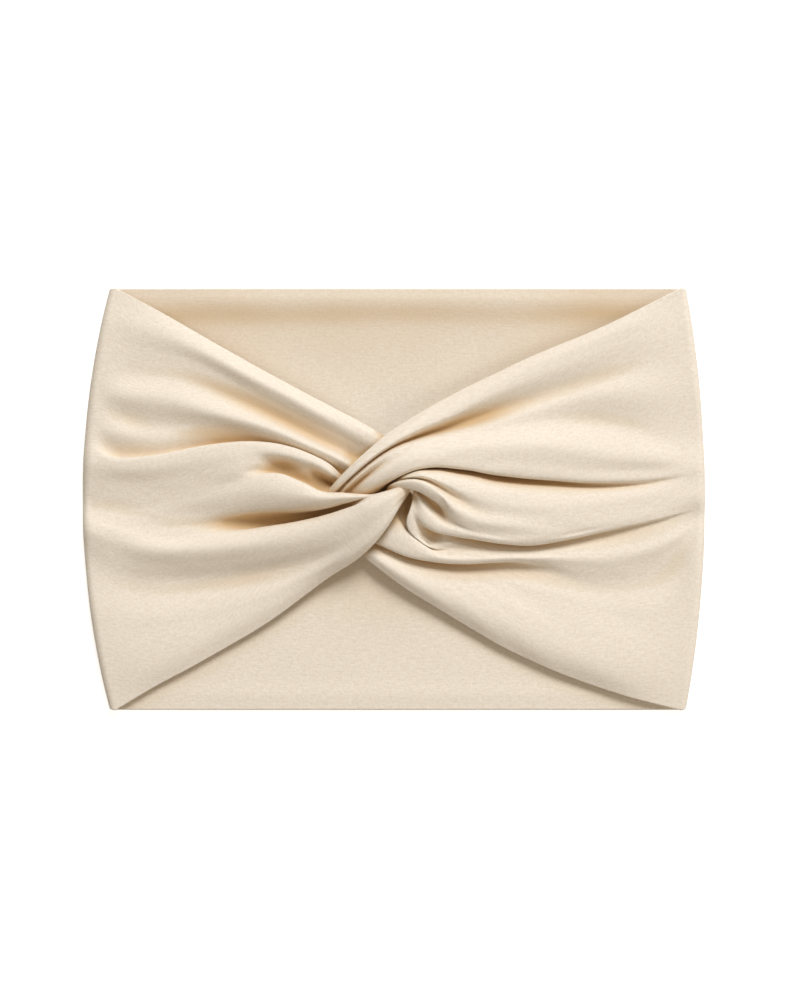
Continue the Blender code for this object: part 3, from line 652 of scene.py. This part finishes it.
def cloth_piece(name, outer, inner, outer_normals, inner_normals, reach, widths, shade_shares, inner_shade_shares):
    """A closed double-layer sheet with round folded edges, from two matching grids."""
    rows, columns = outer.shape[:2]
    rims = []
    rim_normals = []
    for row, beside in ((0, 1), (rows - 1, rows - 2)):
        middle = (outer[row] + inner[row]) / 2
        outward = unit((outer[row] - outer[beside]) + (inner[row] - inner[beside]))
        half = np.linalg.norm(outer[row] - inner[row], axis=-1, keepdims=True) / 2
        rims.append(middle + outward * half * RIM_ROUNDNESS)
        rim_normals.append(outward)
    points = np.concatenate((outer.reshape(-1, 3), inner.reshape(-1, 3), *rims))
    normals = np.concatenate((outer_normals.reshape(-1, 3), inner_normals.reshape(-1, 3), *rim_normals))
    mesh = bpy.data.meshes.new(name)
    mesh.from_pydata(points.tolist(), [], sheet_faces(rows, columns))
    sheet = bmesh.new()
    sheet.from_mesh(mesh)
    bmesh.ops.recalc_face_normals(sheet, faces=sheet.faces)
    sheet.to_mesh(mesh)
    sheet.free()
    u = np.concatenate((np.tile(reach, 2 * rows), reach, reach))
    v = np.concatenate((widths.ravel(), widths.ravel(), widths[0], widths[-1]))
    layer = mesh.uv_layers.new(name="cloth")
    corners = np.empty(len(mesh.loops), dtype=np.int32)
    mesh.loops.foreach_get("vertex_index", corners)
    layer.data.foreach_set("uv", np.column_stack((u[corners], v[corners])).ravel())
    # Painted shade, as a share of the fold colour at each point.
    depth = mesh.attributes.new("painted_shade", "FLOAT", "POINT")
    values = (shade_shares.ravel(), inner_shade_shares.ravel(), shade_shares[0], shade_shares[-1])
    depth.data.foreach_set("value", np.concatenate(values))
    mesh.shade_smooth()
    mesh.normals_split_custom_set_from_vertices(normals.tolist())
    return link_new(name, mesh)


def build_cloth(side, folds, names, sizes):
    """The cloth of one side: the piece at the knot and the piece round the side fold to the centre back.

    Each comes with its flat length, the mean length of its rows along the cloth.
    """
    front = front_grid(side, folds, sizes)
    grid, front_columns = add_side_and_back(side, front, sizes)
    normals = grid_normals(side, grid)
    grid = grid + normals * gather_wrinkles(side, grid, front.shape[1], sizes)[..., None]
    normals = grid_normals(side, grid)
    inner = grid - normals * cloth_thickness(grid, front_columns, sizes)[..., None]
    inner[:, -1, 0] = 0
    middle = grid.shape[0] // 2
    out = np.abs(front[middle, :, 0])
    cut, floored = (int(np.argmin(np.abs(out - place))) for place in (CUT_AT, FLOOR_FROM))
    front_part = inner[:, floored:front.shape[1], 2]
    front_part[:] = np.maximum(front_part, FRONT_FLOOR)
    back_part = inner[:, front_columns:, 2]
    back_part[:] = np.minimum(back_part, BACK_CEILING)
    inner_normals = -grid_normals(side, inner)
    along = steps_between(grid, 1)
    reach = walk(along[middle]) * UV_PER_METRE
    widths = walk(steps_between(grid, 0)) * UV_PER_METRE
    widths -= widths[middle]
    # Shares of painted shade: in the front's folds, from their depth, and on the back, as shadows under its
    # roll and the knot and beside the front's edges.
    shade_shares, inner_shade_shares = np.zeros(grid.shape[:2]), np.zeros(grid.shape[:2])
    shade_shares[:, :front.shape[1]] = painted_shade(front, sizes)
    inner_shade_shares[:, front_columns:] = edge_shade(side, grid[:, front_columns:], front)
    made = []
    for name, start, last in ((names[0], 0, cut), (names[1], cut, grid.shape[1] - 1)):
        part = slice(start, last + 1)
        piece = cloth_piece(name, grid[:, part], inner[:, part], normals[:, part], inner_normals[:, part],
                            reach[part], widths[:, part], shade_shares[:, part], inner_shade_shares[:, part])
        made.append((piece, float(along[:, start:last].sum(axis=1).mean())))
    return made


def set_inputs(tree, node, inputs):
    """Links a node's inputs to other nodes, or sets their values."""
    for name, value in inputs.items():
        if isinstance(value, bpy.types.NodeSocket):
            tree.links.new(value, node.inputs[name])
        else:
            node.inputs[name].default_value = value


def add_node(tree, kind, inputs, **settings):
    """Adds a node and returns its outputs."""
    node = tree.nodes.new(kind)
    for name, value in settings.items():
        setattr(node, name, value)
    set_inputs(tree, node, inputs)
    return node.outputs


def math_node(tree, operation, *values):
    return add_node(tree, "ShaderNodeMath", dict(enumerate(values)), operation=operation)[0]


def new_group(name, kind, inputs, outputs):
    """A node group, the values it is given and the node that takes its results."""
    tree = bpy.data.node_groups.new(name, kind)
    for socket, socket_type, default in inputs:
        made = tree.interface.new_socket(socket, in_out="INPUT", socket_type=socket_type)
        made.default_value = default
    for socket, socket_type in outputs:
        tree.interface.new_socket(socket, in_out="OUTPUT", socket_type=socket_type)
    return tree, tree.nodes.new("NodeGroupInput").outputs, tree.nodes.new("NodeGroupOutput")


def new_material(name):
    material = bpy.data.materials.new(name)
    material.use_nodes = True
    return material, material.node_tree, material.node_tree.nodes["Principled BSDF"]


def slub_group():
    """Lengthwise slub yarns and fine knit courses, read from the cloth's own UV map."""
    tree, given, made = new_group(
        "jersey_slub", "ShaderNodeTree",
        (("Slub Length", "NodeSocketFloat", 30.0), ("Slub Height", "NodeSocketFloat", 150.0),
         ("Fuzz", "NodeSocketFloat", 85.0), ("Courses", "NodeSocketFloat", 110.0)),
        (("Slub", "NodeSocketFloat"), ("Height", "NodeSocketFloat")),
    )
    place = add_node(tree, "ShaderNodeUVMap", {}, uv_map="cloth")["UV"]
    split = add_node(tree, "ShaderNodeSeparateXYZ", {"Vector": place})
    stretched = add_node(tree, "ShaderNodeCombineXYZ", {
        "X": math_node(tree, "MULTIPLY", split["X"], given["Slub Length"]),
        "Y": math_node(tree, "MULTIPLY", split["Y"], given["Slub Height"]),
    })
    yarn = add_node(tree, "ShaderNodeTexNoise", {
        "Vector": stretched["Vector"], "Scale": 1.0, "Detail": 4.0, "Roughness": 0.6,
    })
    fuzz = add_node(tree, "ShaderNodeTexNoise", {
        "Vector": place, "Scale": given["Fuzz"], "Detail": 3.0, "Roughness": 0.7,
    })
    blend = add_node(tree, "ShaderNodeMix", {"Factor": 0.55, "A": yarn["Fac"], "B": fuzz["Fac"]})
    contrast = add_node(tree, "ShaderNodeMapRange", {
        "Value": blend["Result"], "From Min": 0.36, "From Max": 0.64,
    })
    waves = []
    for axis in ("Y", "X"):
        courses = math_node(tree, "MULTIPLY", split[axis], given["Courses"])
        waves.append(math_node(tree, "SINE", math_node(tree, "MULTIPLY", courses, 2 * math.pi)))
    knit_height = 0.12
    knit = math_node(tree, "MULTIPLY", *waves)
    height = math_node(tree, "MULTIPLY_ADD", knit, knit_height, contrast["Result"])
    set_inputs(tree, made, {"Slub": contrast["Result"], "Height": height})
    return tree


def jersey_material(colours):
    material = bpy.data.materials.get("cream_jersey")
    if material:
        return material
    material, tree, shader = new_material("cream_jersey")
    slub = add_node(tree, "ShaderNodeGroup", {}, node_tree=slub_group())
    soften = add_node(tree, "ShaderNodeMapRange", {"Value": slub["Slub"], "To Min": 0.4, "To Max": 1.0})
    yarns = add_node(tree, "ShaderNodeMix", {
        "Factor": soften["Result"], "A": colours.slub, "B": colours.jersey,
    }, data_type="RGBA")
    # Painted shade: the cloth's colour is mixed towards the darker fold colour by the share of painted
    # shade that each point holds.
    depth = add_node(tree, "ShaderNodeAttribute", {}, attribute_name="painted_shade")
    shaded = add_node(tree, "ShaderNodeMix", {
        "Factor": depth["Fac"], "A": yarns["Result"], "B": colours.fold,
    }, data_type="RGBA")
    bump = add_node(tree, "ShaderNodeBump", {
        "Strength": 0.35, "Distance": 0.12 * MM, "Height": slub["Height"],
    })
    set_inputs(tree, shader, {
        "Base Color": shaded["Result"], "Normal": bump["Normal"], "Roughness": 0.92,
        "Specular IOR Level": 0.2, "Sheen Weight": 0.25, "Sheen Roughness": 0.5,
        "Sheen Tint": (1.0, 0.97, 0.92, 1.0),
    })
    return material


def thread_material(colours):
    material, tree, shader = new_material("cream_thread")
    place = add_node(tree, "ShaderNodeTexCoord", {})
    twist = add_node(tree, "ShaderNodeTexWave", {
        "Vector": place["Object"], "Scale": 900.0, "Distortion": 1.5,
    })
    shade = [THREAD_SHADE * value for value in colours.thread[:3]] + [1.0]
    tone = add_node(tree, "ShaderNodeMix", {
        "Factor": twist["Fac"], "A": shade, "B": colours.thread,
    }, data_type="RGBA")
    set_inputs(tree, shader, {"Base Color": tone["Result"], "Roughness": 0.7})
    return material


def finish_side(side, folds, names, nodes, context):
    """Builds the two pieces of one side, gives them the jersey and hides the parts of the model that they
    replace.
    """
    colours = context.scene.headband_colours
    (fan, fan_length), (band, band_length) = build_cloth(side, folds, names, context.scene.headband_sizes)
    for piece in (fan, band):
        piece.data.materials.append(jersey_material(colours))
    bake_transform(fan)
    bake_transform(band)
    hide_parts(*nodes[0])
    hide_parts(*nodes[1])


class HEADBAND_OT_left_cloth(bpy.types.Operator):
    """Gathers the left front, folds it at the side and lays the left back"""
    bl_idname = "headband.left_cloth"
    bl_label = "Left Cloth"

    def execute(self, context):
        finish_side(LEFT, LEFT_FOLDS, ("left_gathered_front", "left_side_and_back"),
                    (("left_front_panel", "left_knot_loop"), ("left_back_panel",)),
                    context)
        return {"FINISHED"}


class HEADBAND_OT_right_cloth(bpy.types.Operator):
    """Gathers the right front, folds it at the side and lays the right back"""
    bl_idname = "headband.right_cloth"
    bl_label = "Right Cloth"

    def execute(self, context):
        finish_side(RIGHT, RIGHT_FOLDS, ("right_gathered_front", "right_side_and_back"),
                    (("right_front_panel", "right_knot_loop"), ("right_back_panel",)),
                    context)
        return {"FINISHED"}


def stitch_tree(material):
    """Slanted stitches along a seam, each a short bent thread."""
    tree, given, made = new_group(
        "seam_stitches", "GeometryNodeTree",
        (("Length", "NodeSocketFloat", 16 * MM), ("Stitches", "NodeSocketInt", 18),
         ("Thread", "NodeSocketFloat", 0.45 * MM), ("Reach", "NodeSocketFloat", 2.6 * MM)),
        (("Geometry", "NodeSocketGeometry"),),
    )
    half = math_node(tree, "MULTIPLY", given["Length"], 0.5)
    ends = [add_node(tree, "ShaderNodeCombineXYZ", {"X": end})["Vector"]
            for end in (math_node(tree, "MULTIPLY", half, -1.0), half)]
    seam = add_node(tree, "GeometryNodeCurvePrimitiveLine", {"Start": ends[0], "End": ends[1]})
    points = add_node(tree, "GeometryNodeCurveToPoints", {
        "Curve": seam["Curve"], "Count": given["Stitches"],
    })
    reach = add_node(tree, "ShaderNodeCombineXYZ", {"Y": given["Reach"]})
    low = add_node(tree, "ShaderNodeVectorMath", {0: reach["Vector"], "Scale": -1.0}, operation="SCALE")
    rise = math_node(tree, "MULTIPLY", given["Thread"], -1.0)
    crown = add_node(tree, "ShaderNodeCombineXYZ", {"Z": rise})
    bend = add_node(tree, "GeometryNodeCurveQuadraticBezier", {
        "Resolution": 6, "Start": low["Vector"], "Middle": crown["Vector"], "End": reach["Vector"],
    })
    section = add_node(tree, "GeometryNodeCurvePrimitiveCircle", {
        "Resolution": 8, "Radius": math_node(tree, "MULTIPLY", given["Thread"], 0.5),
    })
    thread = add_node(tree, "GeometryNodeCurveToMesh", {
        "Curve": bend["Curve"], "Profile Curve": section["Curve"], "Fill Caps": True,
    })
    slant = add_node(tree, "FunctionNodeInputVector", {}, vector=(0, 0, STITCH_SLANT))
    place = add_node(tree, "GeometryNodeInstanceOnPoints", {
        "Points": points["Points"], "Instance": thread["Mesh"], "Rotation": slant["Vector"],
    })
    real = add_node(tree, "GeometryNodeRealizeInstances", {"Geometry": place["Instances"]})
    paint = add_node(tree, "GeometryNodeSetMaterial", {"Geometry": real["Geometry"], "Material": material})
    set_inputs(tree, made, {"Geometry": paint["Geometry"]})
    return tree


def seam_stitches(sizes, colours):
    low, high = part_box("knot_seam_thread")
    holder = link_new("seam_line", bpy.data.meshes.new("seam_line"))
    modifier = holder.modifiers.new("stitches", "NODES")
    modifier.node_group = stitch_tree(thread_material(colours))
    values = {
        "Length": high[0] - low[0],
        "Stitches": sizes.stitches,
        "Thread": sizes.thread,
        "Reach": STITCH_REACH * (high[1] - low[1]),
    }
    for item in modifier.node_group.interface.items_tree:
        if item.name in values:
            modifier[item.identifier] = values[item.name]
    evaluated = holder.evaluated_get(bpy.context.evaluated_depsgraph_get())
    mesh = bpy.data.meshes.new_from_object(evaluated)
    mesh.name = "knot_seam_stitches"
    middle = Vector([(start + end) / 2 for start, end in zip(low, high)])
    for vertex in mesh.vertices:
        vertex.co += middle
    mesh.shade_smooth()
    bpy.data.objects.remove(holder, do_unlink=True)
    return link_new("knot_seam_stitches", mesh)


def seam_turnings(colours):
    low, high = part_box("knot_seam_turnings")
    block = bmesh.new()
    bmesh.ops.create_cube(block, size=1)
    for vertex in block.verts:
        vertex.co = Vector([(start + end) / 2 + (end - start) * share
                            for start, end, share in zip(low, high, vertex.co)])
    bmesh.ops.bevel(block, geom=block.edges[:], offset=TURNING_ROUND, segments=3, affect="EDGES",
                    profile=0.5)
    layer = block.loops.layers.uv.new("cloth")
    for face in block.faces:
        for loop in face.loops:
            loop[layer].uv = (loop.vert.co.y * UV_PER_METRE, loop.vert.co.x * UV_PER_METRE)
    mesh = bpy.data.meshes.new("knot_seam_ends")
    block.to_mesh(mesh)
    block.free()
    mesh.shade_smooth()
    mesh.materials.append(jersey_material(colours))
    return link_new("knot_seam_ends", mesh)


class HEADBAND_OT_knot_seam(bpy.types.Operator):
    """Sews the band's ends together behind the knot"""
    bl_idname = "headband.knot_seam"
    bl_label = "Knot Seam"

    def execute(self, context):
        colours = context.scene.headband_colours
        ends = seam_turnings(colours)
        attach(ends, "knot")
        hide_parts("knot_seam_turnings")
        stitches = seam_stitches(context.scene.headband_sizes, colours)
        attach(stitches, "knot")
        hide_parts("knot_seam_thread")
        return {"FINISHED"}


def background_rays(tree):
    """One for the rays that see the background as white: straight, mirrored and through glass."""
    ray = add_node(tree, "ShaderNodeLightPath", {})
    mirrored = math_node(tree, "MAXIMUM", ray["Is Camera Ray"], ray["Is Glossy Ray"])
    return math_node(tree, "MAXIMUM", mirrored, ray["Is Transmission Ray"])


def stage_floor(colours):
    bpy.ops.mesh.primitive_plane_add(size=FLOOR_SIZE, location=(0, 0, -FLOOR_DROP))
    floor = bpy.context.object
    floor.name = "floor"
    material, tree, shader = new_material("white_floor")
    set_inputs(tree, shader, {
        "Base Color": colours.floor, "Roughness": 1.0, "Specular IOR Level": 0.0, "Emission Color": WHITE,
        "Emission Strength": math_node(tree, "MULTIPLY", background_rays(tree), FLOOR_GLOW),
    })
    floor.data.materials.append(material)


def area_light(name, direction, distance, size, power, tint):
    data = bpy.data.lights.new(name, "AREA")
    data.shape = "DISK"
    data.size = size
    data.energy = power
    data.color = tint
    aim = Vector(direction).normalized()
    light = link_new(name, data)
    light.location = aim * distance
    light.rotation_euler = aim.to_track_quat("Z", "Y").to_euler()


def studio_world():
    """A soft fill that the camera sees as white."""
    world = bpy.data.worlds.new("studio")
    world.use_nodes = True
    tree = world.node_tree
    fill = tree.nodes["Background"]
    set_inputs(tree, fill, {"Color": WORLD_FILL, "Strength": WORLD_STRENGTH})
    white = add_node(tree, "ShaderNodeBackground", {"Color": WHITE})
    mix = add_node(tree, "ShaderNodeMixShader", {
        "Fac": background_rays(tree), 1: fill.outputs["Background"], 2: white["Background"],
    })
    set_inputs(tree, tree.nodes["World Output"], {"Surface": mix["Shader"]})
    bpy.context.scene.world = world


def photo_camera():
    lens = bpy.data.cameras.new("photo_camera")
    lens.lens = LENS
    lens.sensor_width = SENSOR
    camera = link_new("photo_camera", lens)
    camera.location = (CAMERA_X, CAMERA_Y, FRAMED_HEIGHT * LENS / SENSOR)
    bpy.context.scene.camera = camera


class HEADBAND_OT_stage(bpy.types.Operator):
    """Sets the white floor, the soft lights and the camera straight above the band"""
    bl_idname = "headband.stage"
    bl_label = "Stage"

    def execute(self, context):
        stage_floor(context.scene.headband_colours)
        for light in LIGHTS:
            area_light(*light)
        studio_world()
        photo_camera()
        context.scene.view_settings.view_transform = "Standard"
        return {"FINISHED"}


class HEADBAND_PT_sidebar(bpy.types.Panel):
    """Lists the pieces of the headband and their sizes"""
    bl_idname = "HEADBAND_PT_sidebar"
    bl_label = "Knotted Headband"
    bl_space_type = "VIEW_3D"
    bl_region_type = "UI"
    bl_category = "Headband"

    def draw(self, context):
        layout = self.layout
        for operator in OPERATORS:
            layout.operator(operator.bl_idname)
        for group in (context.scene.headband_sizes, context.scene.headband_colours):
            for name in group.__annotations__:
                layout.prop(group, name)


OPERATORS = (HEADBAND_OT_left_cloth, HEADBAND_OT_right_cloth, HEADBAND_OT_knot_seam, HEADBAND_OT_stage)
CLASSES = (HeadbandSizes, HeadbandColours) + OPERATORS + (HEADBAND_PT_sidebar,)


def register():
    for made in CLASSES:
        bpy.utils.register_class(made)
    bpy.types.Scene.headband_sizes = PointerProperty(type=HeadbandSizes)
    bpy.types.Scene.headband_colours = PointerProperty(type=HeadbandColours)


def unregister():
    del bpy.types.Scene.headband_colours
    del bpy.types.Scene.headband_sizes
    for made in reversed(CLASSES):
        bpy.utils.unregister_class(made)


def main():
    register()
    bpy.ops.headband.left_cloth()
    bpy.ops.headband.right_cloth()
    bpy.ops.headband.knot_seam()
    bpy.ops.headband.stage()


if __name__ == "__main__":
    main()
